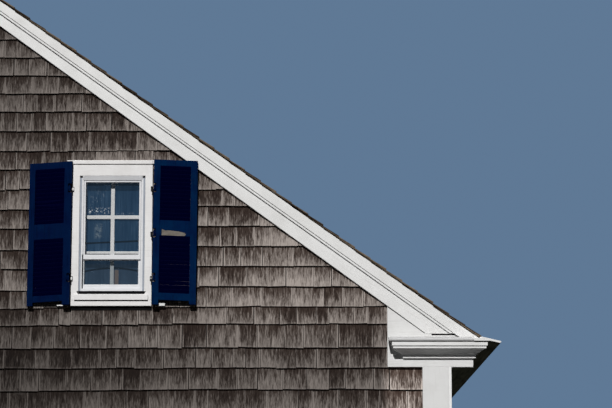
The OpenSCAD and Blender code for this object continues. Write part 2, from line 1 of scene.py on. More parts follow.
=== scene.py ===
import math
import random

import bpy
import numpy as np
from mathutils import Matrix, Vector


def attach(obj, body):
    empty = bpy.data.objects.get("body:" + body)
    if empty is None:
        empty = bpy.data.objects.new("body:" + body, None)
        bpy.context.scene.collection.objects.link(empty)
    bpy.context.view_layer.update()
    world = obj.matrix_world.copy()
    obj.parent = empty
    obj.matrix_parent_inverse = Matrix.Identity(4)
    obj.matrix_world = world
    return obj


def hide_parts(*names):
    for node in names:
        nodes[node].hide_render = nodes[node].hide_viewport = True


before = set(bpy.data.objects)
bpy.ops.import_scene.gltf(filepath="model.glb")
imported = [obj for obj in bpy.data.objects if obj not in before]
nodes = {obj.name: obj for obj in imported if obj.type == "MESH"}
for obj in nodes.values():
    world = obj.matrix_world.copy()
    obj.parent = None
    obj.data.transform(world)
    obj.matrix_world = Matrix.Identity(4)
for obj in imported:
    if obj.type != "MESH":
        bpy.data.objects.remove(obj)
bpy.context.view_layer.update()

HOUSE = "house"

# ---------------------------------------------------------------- dimensions, as in the CAD (metres)
HW, HL = 3.66, 3.05
M = 0.7132                      # roof slope
TOP0 = 2.884 + 0.349 + HW * M   # underside of the roof shingles at the ridge
EAVE = 2.884
WIN_X, WIN_Z = 1.328, 3.304
LOW_Z = 1.300
CASE = 0.280
WIN_H = 1.029
FACE = HL + 0.030
BOX_X = HW + 0.174
RET_X = HW - 0.417
BUTT, HEAD = 0.020, 0.0055
C = 1 / math.sqrt(1 + M * M)


def roof_z(x):
    return TOP0 - M * abs(x)


def rake_low(x):
    return roof_z(x) - 0.168 - 0.0165 * abs(x)


# ---------------------------------------------------------------- small mesh kit
def build(name, verts, faces, mats, body=HOUSE, slot=None, attrs=None, mat_index=None, smooth=False):
    """A mesh object from plain lists. attrs holds one float per vertex under each name."""
    me = bpy.data.meshes.new(name)
    me.from_pydata([tuple(v) for v in verts], [], [tuple(f) for f in faces])
    for m in mats if isinstance(mats, (list, tuple)) else [mats]:
        me.materials.append(m)
    for key, values in (attrs or {}).items():
        a = me.attributes.new(key, "FLOAT", "POINT")
        a.data.foreach_set("value", np.asarray(values, np.float32))
    if mat_index is not None:
        me.polygons.foreach_set("material_index", np.asarray(mat_index, np.int32))
    if smooth:
        me.polygons.foreach_set("use_smooth", [True] * len(me.polygons))
    me.update()
    ob = bpy.data.objects.new(name, me)
    bpy.context.scene.collection.objects.link(ob)
    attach(ob, body)
    return ob


class Heap:
    """Collects many small solids into one mesh."""

    def __init__(self):
        self.v, self.f = [], []
        self.a = {}

    def add(self, verts, faces, **attrs):
        n = len(self.v)
        self.v += [tuple(p) for p in verts]
        self.f += [tuple(i + n for i in f) for f in faces]
        for key, value in attrs.items():
            store = self.a.setdefault(key, [])
            store += list(value) if hasattr(value, "__len__") else [value] * len(verts)

    def box(self, a, b, at=None, **attrs):
        x0, y0, z0 = a
        x1, y1, z1 = b
        vs = [(x, y, z) for x in (x0, x1) for y in (y0, y1) for z in (z0, z1)]
        fs = [(0, 1, 3, 2), (4, 6, 7, 5), (0, 4, 5, 1), (2, 3, 7, 6), (0, 2, 6, 4), (1, 5, 7, 3)]
        if at:
            vs = [at(v) for v in vs]
        self.add(vs, fs, **attrs)

    def make(self, name, mats, **kw):
        return build(name, self.v, self.f, mats, attrs=self.a, **kw)


def on_front(p): return (p[0], p[1] - HL, p[2])
def on_back(p): return (-p[0], HL - p[1], p[2])
def on_right(p): return (HW - p[1], p[0], p[2])
def on_left(p): return (-HW + p[1], -p[0], p[2])


# ---------------------------------------------------------------- node kit for materials
class Mat:
    def __init__(self, name):
        self.m = bpy.data.materials.new(name)
        self.m.use_nodes = True
        self.t = self.m.node_tree
        self.bsdf = self.t.nodes["Principled BSDF"]
        self.out = self.t.nodes["Material Output"]

    def n(self, kind, **kw):
        node = self.t.nodes.new(kind)
        for k, v in kw.items():
            setattr(node, k, v)
        return node

    def link(self, a, b):
        self.t.links.new(a, b)

    def coords(self, scale=(1, 1, 1), rot=(0, 0, 0)):
        g = self.n("ShaderNodeTexCoord")
        vec = g.outputs["Object"]
        if any(rot):
            turn = self.n("ShaderNodeMapping")
            turn.inputs["Rotation"].default_value = rot
            self.link(vec, turn.inputs["Vector"])
            vec = turn.outputs["Vector"]
        mp = self.n("ShaderNodeMapping")
        mp.inputs["Scale"].default_value = scale
        self.link(vec, mp.inputs["Vector"])
        return mp.outputs["Vector"]

    def noise(self, vec, scale=5.0, detail=4.0, rough=0.6, dist=0.0):
        n = self.n("ShaderNodeTexNoise")
        self.link(vec, n.inputs["Vector"])
        n.inputs["Scale"].default_value = scale
        n.inputs["Detail"].default_value = detail
        n.inputs["Roughness"].default_value = rough
        n.inputs["Distortion"].default_value = dist
        return n.outputs["Fac"]

    def ramp(self, fac, stops, interp="LINEAR"):
        r = self.n("ShaderNodeValToRGB")
        r.color_ramp.interpolation = interp
        while len(r.color_ramp.elements) < len(stops):
            r.color_ramp.elements.new(0.5)
        for e, (p, c) in zip(r.color_ramp.elements, stops):
            e.position = p
            e.color = (c, c, c, 1) if isinstance(c, (int, float)) else (*c, 1)
        self.link(fac, r.inputs["Fac"])
        return r.outputs["Color"]

    def attr(self, name):
        a = self.n("ShaderNodeAttribute", attribute_name=name)
        return a.outputs["Fac"]

    def math(self, op, a, b=None, clamp=False):
        n = self.n("ShaderNodeMath", operation=op, use_clamp=clamp)
        for i, x in enumerate((a, b)):
            if x is None:
                continue
            if isinstance(x, (int, float)):
                n.inputs[i].default_value = x
            else:
                self.link(x, n.inputs[i])
        return n.outputs[0]

    def mix(self, fac, a, b, mode="MIX"):
        n = self.n("ShaderNodeMix", data_type="RGBA", blend_type=mode)
        for sock, x in ((n.inputs["Factor"], fac), (n.inputs[6], a), (n.inputs[7], b)):
            if isinstance(x, (int, float)):
                sock.default_value = x if sock == n.inputs["Factor"] else (x, x, x, 1)
            elif isinstance(x, (tuple, list)):
                sock.default_value = (*x, 1)
            else:
                self.link(x, sock)
        return n.outputs[2]

    def xyz(self):
        g = self.n("ShaderNodeTexCoord")
        sep = self.n("ShaderNodeSeparateXYZ")
        self.link(g.outputs["Object"], sep.inputs[0])
        return sep.outputs

    def between(self, c, low, high, soft):
        """1 between low and high, falling to 0 over soft."""
        a = self.math("DIVIDE", self.math("SUBTRACT", c, low), soft, True)
        b = self.math("DIVIDE", self.math("SUBTRACT", high, c), soft, True)
        return self.math("MULTIPLY", a, b)

    def bump(self, height, strength=0.3, distance=0.002):
        b = self.n("ShaderNodeBump")
        b.inputs["Strength"].default_value = strength
        b.inputs["Distance"].default_value = distance
        self.link(height, b.inputs["Height"])
        self.link(b.outputs["Normal"], self.bsdf.inputs["Normal"])

    def set(self, **kw):
        for k, v in kw.items():
            s = self.bsdf.inputs[k.replace("_", " ")]
            if isinstance(v, (int, float)):
                s.default_value = v
            elif isinstance(v, (tuple, list)):
                s.default_value = (*v, 1)
            else:
                self.link(v, s)
        return self.m


def shingle_material(name, grain_axis, dark, mid, light, brown, gain=1.0, shaded=False):
    """Weathered wood shingle. Attributes: v runs from the butt (0) to the course above (1), side is the distance to the
    nearer long edge in metres, tone is one number a shingle, kind is 1 on cut faces and sets how far painted shade
    darkens them.
    """
    k = Mat(name)
    tone, v, kind, side = k.attr("tone"), k.attr("v"), k.attr("kind"), k.attr("side")
    comb = k.n("ShaderNodeCombineXYZ")
    for i in range(3):
        k.link(k.math("MULTIPLY", tone, 37.0 + 11 * i), comb.inputs[i])

    def own(vec):
        shift = k.n("ShaderNodeVectorMath", operation="ADD")
        k.link(vec, shift.inputs[0])
        k.link(comb.outputs[0], shift.inputs[1])
        return shift.outputs[0]

    long_, short = {"z": ((1, 1, 0.05), (1, 1, 0.16)), "x": ((0.05, 1, 1), (0.16, 1, 1)), "y": ((1, 0.05, 1), (1, 0.16, 1))}[grain_axis]
    fine = k.noise(own(k.coords(long_)), 175, 2, 0.75)
    medium = k.noise(own(k.coords(long_)), 70, 3, 0.7)
    flecks = k.noise(own(k.coords(short)), 95, 3, 0.75)
    broad = k.noise(own(k.coords(short)), 17, 3, 0.6)
    patch = k.noise(k.coords((1, 1, 0.7)), 2.6, 4, 0.65)
    level = k.math("ADD", k.math("MULTIPLY", fine, 0.34), k.math("MULTIPLY", medium, 0.30))
    level = k.math("ADD", level, k.math("MULTIPLY", flecks, 0.20))
    level = k.math("ADD", level, k.math("MULTIPLY", broad, 0.16))
    # every shingle has its own shade, the weather bleaches its lower part and its long edges, and stains run over many of them
    level = k.math("ADD", level, k.math("MULTIPLY", k.math("SUBTRACT", tone, 0.5), 0.12))
    level = k.math("ADD", level, k.math("MULTIPLY", k.math("SUBTRACT", 0.45, v), 0.13))
    level = k.math("ADD", level, k.math("MULTIPLY", k.math("SUBTRACT", patch, 0.5), 0.26))
    edge = k.ramp(side, [(0.0, 1.0), (0.009, 0.0)])
    level = k.math("ADD", level, k.math("MULTIPLY", k.math("MULTIPLY", edge, k.ramp(broad, [(0.40, 0.0), (0.54, 1.0)])), 0.28))
    col = k.ramp(level, [(0.390, dark), (0.468, mid), (0.541, tuple(0.55 * a + 0.45 * b for a, b in zip(mid, light))), (0.628, light)])
    browning = k.math("MULTIPLY", k.ramp(v, [(0.35, 0.0), (1.0, 0.8)]), k.ramp(flecks, [(0.35, 1.0), (0.65, 0.45)]))
    col = k.mix(browning, col, k.mix(0.55, col, brown))
    # a pale worn line at the butt with dark nibbles, and dark cut faces: their darkness is partly the cut wood's own
    # tone, partly painted shade under the butts and in the joints
    worn = k.math("MULTIPLY", k.ramp(v, [(0.0, 0.55 * gain), (0.05, 0.30 * gain), (0.10, 0.0)]), k.ramp(medium, [(0.40, 0.15), (0.56, 1.0)]))
    col = k.mix(worn, col, light)
    if shaded:
        # damp darkens the wall towards its middle and its foot; the courses beside the corner boards are bleached
        x, _, z = k.xyz()
        x = k.math("ABSOLUTE", x)
        wide = k.math("DIVIDE", k.math("SUBTRACT", x, 0.7), 1.7, True)
        gain_ = k.math("ADD", k.math("MULTIPLY", wide, 0.55), 0.52)
        middle = k.math("MULTIPLY", k.between(x, -1.0, 0.80, 0.05), k.between(z, 3.34, 4.45, 0.05))
        gain_ = k.math("ADD", gain_, k.math("MULTIPLY", middle, 0.18))
        foot = k.math("DIVIDE", k.math("SUBTRACT", 3.34, z), 0.42, True)
        gain_ = k.math("MULTIPLY", gain_, k.math("SUBTRACT", 1.0, k.math("MULTIPLY", foot, 0.47)))
        bleached = k.math("MULTIPLY", k.between(x, 3.20, 3.60, 0.07), k.between(z, -1.0, 2.890, 0.02))
        bleached = k.math("MULTIPLY", bleached, k.math("DIVIDE", k.math("SUBTRACT", z, 1.75), 0.60, True))
        gain_ = k.math("ADD", gain_, k.math("MULTIPLY", bleached, 1.46))
        scale_ = k.n("ShaderNodeVectorMath", operation="SCALE")
        k.link(col, scale_.inputs[0])
        k.link(gain_, scale_.inputs["Scale"])
        col = scale_.outputs[0]
    # painted shade: cut faces go towards near-black by their kind
    col = k.mix(k.math("MULTIPLY", kind, 0.85), col, tuple(0.25 * a for a in dark))
    k.bump(k.math("ADD", k.math("MULTIPLY", fine, 0.6), k.math("ADD", medium, k.math("MULTIPLY", broad, 1.5))), 0.7, 0.003)
    k.set(Base_Color=col, Roughness=0.9)
    k.bsdf.inputs["Specular IOR Level"].default_value = 0.15
    return k.m


def paint_material(name, base, dirt, rough=0.45, grain=None, grain_gain=0.5, spots=0.35, bump=0.25, low=None):
    """Old oil paint on wood: brush and grain lines, faint weather stains and tiny dark checks."""
    k = Mat(name)
    rot = (0, grain, 0) if grain is not None else (0, 0, 0)
    along = k.coords((0.05, 1, 1), rot)
    brush = k.noise(along, 130, 3, 0.6)
    blot = k.noise(k.coords(), 5.5, 5, 0.65)
    fine = k.noise(k.coords(), 190, 2, 0.6)
    stain = k.ramp(blot, [(0.42, 0.0), (0.72, 0.55)])
    col = k.mix(k.math("MULTIPLY", stain, 0.45), base, dirt)
    lines = k.ramp(brush, [(0.30, grain_gain), (0.44, 0.0)])
    col = k.mix(k.math("MULTIPLY", lines, 0.5), col, dirt)
    checks = k.ramp(fine, [(0.24, spots), (0.33, 0.0)])
    col = k.mix(checks, col, tuple(0.45 * c for c in dirt))
    if low is not None:
        # painted shade: the sash is darker behind the lower panel, where the panes overlap
        z = k.xyz()[2]
        behind = None
        for level_ in (WIN_Z, LOW_Z):
            band = k.between(k.math("SUBTRACT", z, level_), 0.02, 0.366, 0.006)
            behind = band if behind is None else k.math("MAXIMUM", behind, band)
        col = k.mix(behind, col, low)
    k.bump(k.math("ADD", k.math("MULTIPLY", brush, 0.7), k.math("MULTIPLY", fine, 0.5)), bump, 0.0012)
    k.set(Base_Color=col, Roughness=k.ramp(blot, [(0.3, rough - 0.06), (0.7, rough + 0.12)]))
    return k.m


MAT = {}
MAT["wall_z"] = shingle_material("cedar_wall", "z", (0.0135, 0.0082, 0.0068), (0.056, 0.0415, 0.0350), (0.36, 0.316, 0.290), (0.060, 0.037, 0.027), 1.0, True)
MAT["roof_x"] = shingle_material("cedar_roof", "x", (0.016, 0.010, 0.007), (0.088, 0.060, 0.040), (0.24, 0.19, 0.14), (0.125, 0.069, 0.035), 0.5)
WHITE, GRIME = (0.765, 0.765, 0.762), (0.44, 0.43, 0.41)
MAT["white_h"] = paint_material("white_trim_level", WHITE, GRIME, 0.5, spots=0.22)
MAT["white_board"] = paint_material("white_return_board", (0.725, 0.725, 0.722), GRIME, 0.5, spots=0.22)
MAT["white_cap"] = paint_material("white_weathered_cap", (0.490, 0.490, 0.493), (0.34, 0.335, 0.325), 0.5, spots=0.28)
MAT["white_r"] = paint_material("white_trim_right_rake", WHITE, GRIME, 0.5, grain=-math.radians(35.5), spots=0.22)
MAT["white_l"] = paint_material("white_trim_left_rake", WHITE, GRIME, 0.5, grain=math.radians(35.5), spots=0.22)
MAT["white_v"] = paint_material("white_trim_upright", (0.72, 0.72, 0.718), GRIME, 0.5, grain=math.radians(90), grain_gain=0.2, spots=0.08, bump=0.08)
# painted highlight: the side corner boards get a brighter white, for their brightly lit edges
MAT["white_highlight_edge"] = paint_material("white_trim_painted_highlight", (0.86, 0.86, 0.858), GRIME, 0.5, grain=math.radians(90), grain_gain=0.2, spots=0.1, bump=0.08)
MAT["cream"] = paint_material("cream_casing", (0.795, 0.787, 0.785), (0.44, 0.41, 0.39), 0.5, spots=0.36)
MAT["storm"] = paint_material("storm_white", (0.735, 0.740, 0.765), (0.40, 0.41, 0.44), 0.42, spots=0.1, bump=0.06)
MAT["sash"] = paint_material("sash_white", (0.72, 0.725, 0.73), (0.40, 0.40, 0.39), 0.45, spots=0.15, bump=0.1, low=(0.27, 0.30, 0.32))


def navy_material(name, base, worn, gain=0.5, rough=0.55, chips=0.4, specular=0.01, deep=0.0):
    k = Mat(name)
    along = k.coords((1, 1, 0.06))
    brush = k.noise(along, 120, 3, 0.6)
    blot = k.noise(k.coords(), 9, 5, 0.7)
    chip = k.noise(k.coords((1, 1, 0.35)), 60, 4, 0.7)
    col = k.mix(k.ramp(blot, [(0.38, 0.0), (0.68, gain)]), base, worn)
    col = k.mix(k.ramp(brush, [(0.35, 0.45), (0.5, 0.0)]), col, tuple(0.4 * c for c in base))
    col = k.mix(k.ramp(chip, [(0.72, 0.0), (0.78, chips)]), col, (0.05, 0.09, 0.15))
    k.bump(k.math("ADD", brush, k.math("MULTIPLY", chip, 0.4)), 0.2, 0.001)
    k.set(Base_Color=col, Roughness=k.ramp(blot, [(0.3, rough), (0.7, rough + 0.12)]))
    k.bsdf.inputs["Specular IOR Level"].default_value = specular
    if deep:
        # painted glow: the paint gives off a faint blue light, so it keeps a trace of blue in the shade between the
        # slats
        k.bsdf.inputs["Emission Color"].default_value = (0.0, 0.02, 1.0, 1)
        k.bsdf.inputs["Emission Strength"].default_value = deep
    return k.m


MAT["navy"] = navy_material("navy_frame", (0.0003, 0.0052, 0.034), (0.0004, 0.0130, 0.052))
MAT["navy_right"] = navy_material("navy_frame_faded", (0.0003, 0.0078, 0.044), (0.0004, 0.0250, 0.076))
# the slats' last argument is their painted glow
MAT["navy_slat"] = navy_material("navy_slat", (0.0002, 0.0004, 0.0085), (0.0003, 0.0012, 0.0120), 0.5, 0.6, 0.15, 0.01, 0.0065)


def iron_material():
    k = Mat("black_iron")
    rust = k.noise(k.coords(), 90, 4, 0.7)
    col = k.mix(k.ramp(rust, [(0.55, 0.0), (0.75, 0.6)]), (0.005, 0.005, 0.006), (0.022, 0.012, 0.008))
    k.bump(rust, 0.4, 0.001)
    k.set(Base_Color=col, Roughness=0.7)
    k.bsdf.inputs["Specular IOR Level"].default_value = 0.15
    return k.m


MAT["iron"] = iron_material()


def plain_material(name, dark, light, axis, rough=0.8, scale=70, bump=0.4, specular=0.5, glow=0.0):
    """Grained wood between two colours; axis squeezes the grain."""
    k = Mat(name)
    g = k.noise(k.coords(axis), scale, 4, 0.65)
    b = k.noise(k.coords(), 11, 4, 0.6)
    level = k.math("ADD", k.math("MULTIPLY", g, 0.7), k.math("MULTIPLY", b, 0.3))
    k.bump(g, bump, 0.0012)
    col = k.ramp(level, [(0.33, dark), (0.62, light)])
    k.set(Base_Color=col, Roughness=rough)
    k.bsdf.inputs["Specular IOR Level"].default_value = specular
    if glow:
        # a trace of the light that the ground would throw up
        k.link(col, k.bsdf.inputs["Emission Color"])
        k.bsdf.inputs["Emission Strength"].default_value = glow
    return k.m


# painted shade: grey-blue for the shaded recess beside the storm frames
MAT["seal"] = plain_material("grey_seal", (0.22, 0.25, 0.30), (0.34, 0.37, 0.43), (1, 1, 0.05), 0.7, 60, 0.1)
MAT["bare"] = plain_material("bare_split_wood", (0.066, 0.056, 0.047), (0.230, 0.204, 0.180), (0.12, 1, 1), 0.85, 90, specular=0.1)
# black for the storm fittings, and for the painted shadow strips
MAT["black"] = plain_material("black_strip", (0.003, 0.003, 0.004), (0.012, 0.012, 0.012), (0.2, 1, 1), 0.8, 60, 0.2, 0.0)
# painted shade: near-black for the eaves' shaded faces, with a faint glow of light from the ground
MAT["shade"] = plain_material("eave_painted_shade", (0.004, 0.0042, 0.003), (0.017, 0.017, 0.012), (1, 0.05, 1), 0.85, 50, 0.5, 0.0, 0.55)


def glass_material(name, base, haze, alpha, old=False):
    """Old window glass, a little uneven and dusty, with the dark room behind it; its blue tone is a painted reflection
    of the sky.
    """
    k = Mat(name)
    wave = k.noise(k.coords((1, 1, 0.4)), 7, 2, 0.5, 0.6)
    streak = k.noise(k.coords((1, 1, 0.05)), 85, 3, 0.65)
    blotch = k.noise(k.coords((1, 1, 0.6)), 6, 3, 0.6)
    dust = k.noise(k.coords(), 190, 3, 0.75)
    col = k.mix(k.math("MULTIPLY", k.ramp(streak, [(0.40, 0.0), (0.66, 0.9)]), k.ramp(blotch, [(0.35, 0.25), (0.62, 1.0)])), base, haze)
    col = k.mix(k.ramp(dust, [(0.70, 0.0), (0.78, 0.30)]), col, (0.22, 0.26, 0.31))
    if old:
        x, _, z = k.xyz()
        u = k.math("SUBTRACT", x, WIN_X)
        w = k.math("SUBTRACT", z, WIN_Z)
        # the lower panes are lighter and greyer
        col = k.mix(k.math("MULTIPLY", k.between(w, 0.0, 0.31, 0.010), 0.38), col, (0.046, 0.058, 0.070))
        # the frame's shade along the panes' tops
        col = k.mix(k.math("MULTIPLY", k.between(w, 0.858, 0.95, 0.006), 0.80), col, tuple(0.20 * c for c in base))
        col = k.mix(k.math("MULTIPLY", k.between(w, 0.305, 0.40, 0.030), 0.90), col, tuple(0.20 * c for c in base))
        # painted reflection: dark bows, where the uneven glass bends what stands outside
        reflected_bow = k.math("SUBTRACT", w, k.math("MULTIPLY", u, 0.045))
        col = k.mix(k.math("MULTIPLY", k.between(reflected_bow, 0.452, 0.470, 0.005), 0.8), col, (0.004, 0.007, 0.011))
        reflected_bow = k.math("ADD", w, k.math("MULTIPLY", k.math("MULTIPLY", u, u), 0.62))
        col = k.mix(k.math("MULTIPLY", k.between(reflected_bow, 0.268, 0.286, 0.005), 0.8), col, (0.004, 0.007, 0.011))
        # dried spray: a bleached patch and pale specks
        patch = k.math("MULTIPLY", k.between(u, -0.135, -0.070, 0.018), k.between(w, 0.478, 0.600, 0.02))
        grain = k.ramp(k.noise(k.coords((1, 1, 0.7)), 130, 3, 0.8), [(0.44, 0.0), (0.60, 0.75)])
        col = k.mix(k.math("MULTIPLY", patch, grain), col, (0.17, 0.22, 0.26))
        specks = k.ramp(k.noise(k.coords(), 105, 2, 0.7), [(0.585, 0.0), (0.63, 1.0)])
        low = k.math("MULTIPLY", k.between(u, -0.178, -0.022, 0.01), k.between(w, 0.652, 0.712, 0.02))
        col = k.mix(k.math("MULTIPLY", specks, low), col, (0.62, 0.66, 0.70))
        low = k.math("MULTIPLY", k.between(u, -0.178, -0.022, 0.01), k.between(w, 0.700, 0.840, 0.03))
        thin = k.ramp(k.noise(k.coords((1, 1, 0.3)), 120, 2, 0.7), [(0.60, 0.0), (0.68, 0.35)])
        col = k.mix(k.math("MULTIPLY", thin, low), col, (0.30, 0.36, 0.42))
        low = k.math("MULTIPLY", k.between(u, 0.016, 0.178, 0.01), k.between(w, 0.652, 0.672, 0.01))
        col = k.mix(k.math("MULTIPLY", specks, low), col, (0.40, 0.44, 0.50))
        # a pale strip shows beside the bar
        strip = k.math("MULTIPLY", k.between(u, 0.014, 0.045, 0.004), k.between(w, 0.150, 0.268, 0.006))
        col = k.mix(k.math("MULTIPLY", strip, 0.75), col, (0.150, 0.120, 0.100))
    k.bump(wave, 0.06, 0.004)
    if old:
        # painted reflection: part of the old glass's colour is given as a glow, so it keeps its tone also where the
        # frame shades it, as the sky's reflection would
        k.set(Emission_Color=col)
        k.bsdf.inputs["Emission Strength"].default_value = 0.42
        dim = k.n("ShaderNodeVectorMath", operation="SCALE")
        k.link(col, dim.inputs[0])
        dim.inputs["Scale"].default_value = 0.52
        col = dim.outputs[0]
    k.set(Base_Color=col, Roughness=k.ramp(streak, [(0.3, 0.08), (0.8, 0.18)]))
    k.bsdf.inputs["IOR"].default_value = 1.5
    k.bsdf.inputs["Alpha"].default_value = alpha
    return k.m


MAT["pane"] = glass_material("old_pane", (0.0135, 0.0405, 0.0850), (0.0360, 0.0800, 0.1450), 1.0, True)
MAT["storm_pane"] = glass_material("storm_pane", (0.05, 0.08, 0.11), (0.10, 0.14, 0.18), 0.06)


def stone_material():
    k = Mat("foundation_stone")
    cell = k.n("ShaderNodeTexVoronoi", feature="DISTANCE_TO_EDGE")
    k.link(k.coords((1, 1, 1.6)), cell.inputs["Vector"])
    cell.inputs["Scale"].default_value = 3.6
    joint = k.ramp(cell.outputs["Distance"], [(0.01, 1.0), (0.05, 0.0)])
    grit = k.noise(k.coords(), 28, 6, 0.7)
    col = k.ramp(grit, [(0.3, (0.20, 0.19, 0.17)), (0.7, (0.42, 0.40, 0.36))])
    col = k.mix(joint, col, (0.30, 0.29, 0.27))
    k.bump(k.math("SUBTRACT", grit, joint), 0.6, 0.008)
    k.set(Base_Color=col, Roughness=0.9)
    return k.m


def timber_material():
    k = Mat("bare_timber")
    g = k.noise(k.coords((0.06, 1, 1)), 60, 4, 0.6)
    plank = k.n("ShaderNodeTexWave", wave_type="BANDS", bands_direction="Z")
    k.link(k.coords(), plank.inputs["Vector"])
    plank.inputs["Scale"].default_value = 1.1
    gap = k.ramp(plank.outputs["Fac"], [(0.0, 1.0), (0.03, 0.0)])
    col = k.ramp(g, [(0.3, (0.28, 0.17, 0.09)), (0.7, (0.50, 0.34, 0.19))])
    col = k.mix(gap, col, (0.08, 0.05, 0.03))
    k.bump(k.math("SUBTRACT", g, gap), 0.4, 0.002)
    k.set(Base_Color=col, Roughness=0.75)
    return k.m


MAT["stone"] = stone_material()
MAT["timber"] = timber_material()
under = Mat("shingle_gap")
under_n = under.noise(under.coords(), 40, 3, 0.6)
under.set(Base_Color=under.ramp(under_n, [(0.3, (0.010, 0.007, 0.006)), (0.7, (0.028, 0.020, 0.016))]), Roughness=0.95)
MAT["under"] = under.m


# ---------------------------------------------------------------- wall shingles
def run(a, b, n):
    return [a + (b - a) * i / n for i in range(n)]


# heights of the course lines over the cornice's underside, and how far each has sunk at the left of the photographed window
SET_OUT = [(-0.003, 0.007), (0.137, 0.009), (0.303, 0.016), (0.422, 0.016), (0.5634, 0.030), (0.7048, 0.021), (0.8462, 0.030), (0.9876, 0.021),
           (1.129, 0.028), (1.248, 0.004), (1.387, 0.0), (1.526, 0.008)]
LOW = [EAVE - 0.003 - i * 0.149 for i in range(20, 0, -1)]
HIGH = [EAVE + z for z, _ in SET_OUT] + [EAVE + z for z in run(1.665, 1.804, 1) + run(1.804, 2.326, 4)] + [EAVE + 2.326 + 0.135 * i for i in range(8)]
COURSES = LOW + HIGH
SUNK = [0.012] * len(LOW) + [d for _, d in SET_OUT] + [0.004] * (len(HIGH) - len(SET_OUT))


def sunk(i, x):
    return SUNK[i] * min(1.0, max(0.0, (2.0 - x) / 1.37))


def level(i, x):
    return 0.0


GABLE_WINDOWS = [(WIN_X, WIN_Z), (-WIN_X, WIN_Z), (WIN_X, LOW_Z), (-WIN_X, LOW_Z)]
SIDE_WINDOWS = [(1.5, LOW_Z), (-1.5, LOW_Z)]


def cut(spans, a, b):
    """Takes the stretch a..b out of a list of stretches."""
    out = []
    for s, e in spans:
        if b <= s or a >= e:
            out.append((s, e))
            continue
        if a - s > 0.004:
            out.append((s, a))
        if e - b > 0.004:
            out.append((b, e))
    return out


def lay_wall(name, replaced, at, half, top, courses, holes, seed, ceiling, fall=level):
    """Courses of separate shingles on one wall. half(z) is how far they run from the middle, top(x) the highest point they reach."""
    rng = random.Random(seed)
    heap, back = Heap(), Heap()
    gaps_below = []
    for i in range(len(courses) - 1):
        lo, hi = courses[i], min(courses[i + 1], ceiling)
        lo = max(lo, 0.14)
        if hi - lo < 0.02:
            continue
        width = half(lo + 0.016)
        # parts of this course: (x spans, bottom, top)
        bands = [lo, hi]
        for x0, x1, z0, z1 in holes:
            for z in (z0, z1):
                if lo + 0.018 < z < hi - 0.018:
                    bands.append(z)
        bands = sorted(set(bands))
        parts = []
        for b0, b1 in zip(bands, bands[1:]):
            spans = [(-width, width)]
            for x0, x1, z0, z1 in holes:
                if z0 < (b0 + b1) / 2 < z1:
                    spans = cut(spans, x0, x1)
            parts.append((spans, b0, b1))
        if len(parts) > 1:
            # a stretch that is open in both bands is one run of whole shingles
            whole = [(-width, width)]
            for x0, x1, z0, z1 in holes:
                if z1 > lo and z0 < hi:
                    whole = cut(whole, x0, x1)
            cutup = []
            for spans, b0, b1 in parts:
                rest = spans
                for a, b in whole:
                    rest = cut(rest, a, b)
                cutup.append((rest, b0, b1))
            parts = [(whole, lo, hi)] + cutup
        gaps = []
        for spans, b0, b1 in parts:
            for s, e in spans:
                # the ground behind, seen only in the gaps
                n = max(1, int((e - s) / 0.12))
                for j in range(n):
                    xa, xb = s + (e - s) * j / n, s + (e - s) * (j + 1) / n
                    da, db = (fall(i + 1, xa), fall(i + 1, xb)) if b1 == hi else (0.0, 0.0)
                    ta, tb = min(b1 + 0.004 - da, top(xa) + 0.05), min(b1 + 0.004 - db, top(xb) + 0.05)
                    if ta <= b0 and tb <= b0:
                        continue
                    ta, tb = max(ta, b0), max(tb, b0)
                    back.add([at(p) for p in ((xa, -0.0125, b0), (xb, -0.0125, b0), (xb, -0.003, tb), (xa, -0.003, ta), (xa, -0.001, b0), (xb, -0.001, b0))],
                             [(0, 1, 2, 3), (1, 0, 4, 5)])
                x = s + 0.0015
                while x < e - 0.012:
                    for _ in range(6):
                        w = rng.choice((0.085, 0.105, 0.125, 0.14, 0.155, 0.175, 0.2, 0.225)) * rng.uniform(0.9, 1.1)
                        if all(abs(x + w - g) > 0.022 for g in gaps_below):
                            break
                    if e - (x + w) < 0.06:
                        w = e - 0.0015 - x
                    gap = rng.choice((0.002, 0.003, 0.004, 0.0055, 0.007, 0.009))
                    x1 = min(x + w, e - 0.0015)
                    xm = (x + x1) / 2
                    f0 = fall(i, xm) if b0 == lo and lo == courses[i] else 0.0
                    f1 = fall(i + 1, xm) if b1 == hi and hi == courses[i + 1] else 0.0
                    shingle(heap, at, rng, x, x1, b0 - f0, b1 - f1, top)
                    gaps.append(x1)
                    x = x1 + gap
        gaps_below = gaps
    ob = heap.make(name, MAT["wall_z"], slot="wall_shingle")
    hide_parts(replaced)
    back.make(name + "_gaps", MAT["under"], slot="wall_shingle")
    return ob


